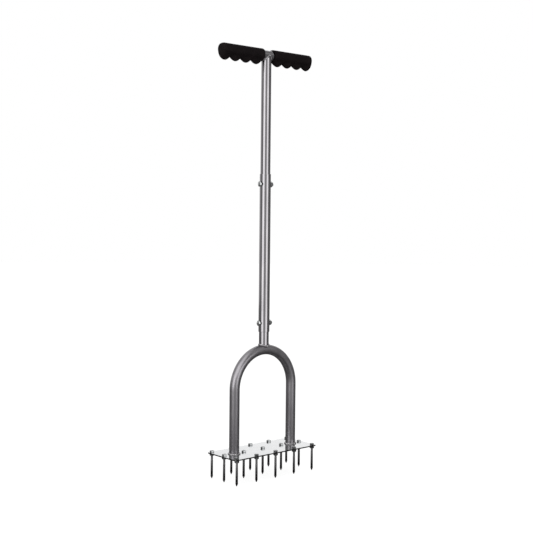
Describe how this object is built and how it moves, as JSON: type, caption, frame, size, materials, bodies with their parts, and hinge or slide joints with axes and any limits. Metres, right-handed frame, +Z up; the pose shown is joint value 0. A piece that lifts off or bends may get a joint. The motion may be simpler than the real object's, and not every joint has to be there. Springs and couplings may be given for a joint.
{
  "type": "manual lawn aerator",
  "caption": "Upright lawn aerator: a plate of steel spikes under a bent tube frame, with a bolted pole and a T handle with finger grips.",
  "frame": {"origin": "level with the spike tips, under the middle of the spike plate", "axes": "+Z up along the pole, X along the plate and the handle bar, Y across the plate"},
  "size_m": [0.29, 0.1086, 1.064],
  "materials": {
    "plate_plating": "bright plated sheet",
    "fastener_plating": "bright zinc plated",
    "spike_steel": "dark bright-drawn steel",
    "frame_paint": "grey metallic gloss paint",
    "pole_paint": "silver grey metallic gloss paint",
    "grip_rubber": "moulded matte rubber"
  },
  "bodies": {
    "root": {"spike_plate": "plate_plating", "spike_r1c1": "spike_steel", "spike_r1c2": "spike_steel", "spike_r1c3": "spike_steel", "spike_r1c4": "spike_steel", "spike_r1c5": "spike_steel", "spike_r2c1": "spike_steel", "spike_r2c2": "spike_steel", "spike_r2c3": "spike_steel", "spike_r2c4": "spike_steel", "spike_r2c5": "spike_steel", "spike_r3c1": "spike_steel", "spike_r3c2": "spike_steel", "spike_r3c3": "spike_steel", "spike_r3c4": "spike_steel", "spike_r3c5": "spike_steel", "top_nut_r1c1": "fastener_plating", "top_nut_r1c2": "fastener_plating", "top_nut_r1c3": "fastener_plating", "top_nut_r1c4": "fastener_plating", "top_nut_r1c5": "fastener_plating", "top_nut_r2c1": "fastener_plating", "top_nut_r2c2": "fastener_plating", "top_nut_r2c3": "fastener_plating", "top_nut_r2c4": "fastener_plating", "top_nut_r2c5": "fastener_plating", "top_nut_r3c1": "fastener_plating", "top_nut_r3c2": "fastener_plating", "top_nut_r3c3": "fastener_plating", "top_nut_r3c4": "fastener_plating", "top_nut_r3c5": "fastener_plating", "lower_nut_r1c1": "fastener_plating", "lower_nut_r1c2": "fastener_plating", "lower_nut_r1c3": "fastener_plating", "lower_nut_r1c4": "fastener_plating", "lower_nut_r1c5": "fastener_plating", "lower_nut_r2c1": "fastener_plating", "lower_nut_r2c2": "fastener_plating", "lower_nut_r2c3": "fastener_plating", "lower_nut_r2c4": "fastener_plating", "lower_nut_r2c5": "fastener_plating", "lower_nut_r3c1": "fastener_plating", "lower_nut_r3c2": "fastener_plating", "lower_nut_r3c3": "fastener_plating", "lower_nut_r3c4": "fastener_plating", "lower_nut_r3c5": "fastener_plating", "arch_frame": "frame_paint", "stub_tube": "pole_paint", "middle_tube": "pole_paint", "upper_tube": "pole_paint", "handle_bar": "pole_paint", "pole_bolt_lower": "fastener_plating", "pole_bolt_upper": "fastener_plating", "pole_nut_lower": "fastener_plating", "pole_nut_upper": "fastener_plating", "left_grip": "grip_rubber", "right_grip": "grip_rubber"}
  },
  "joints": []
}
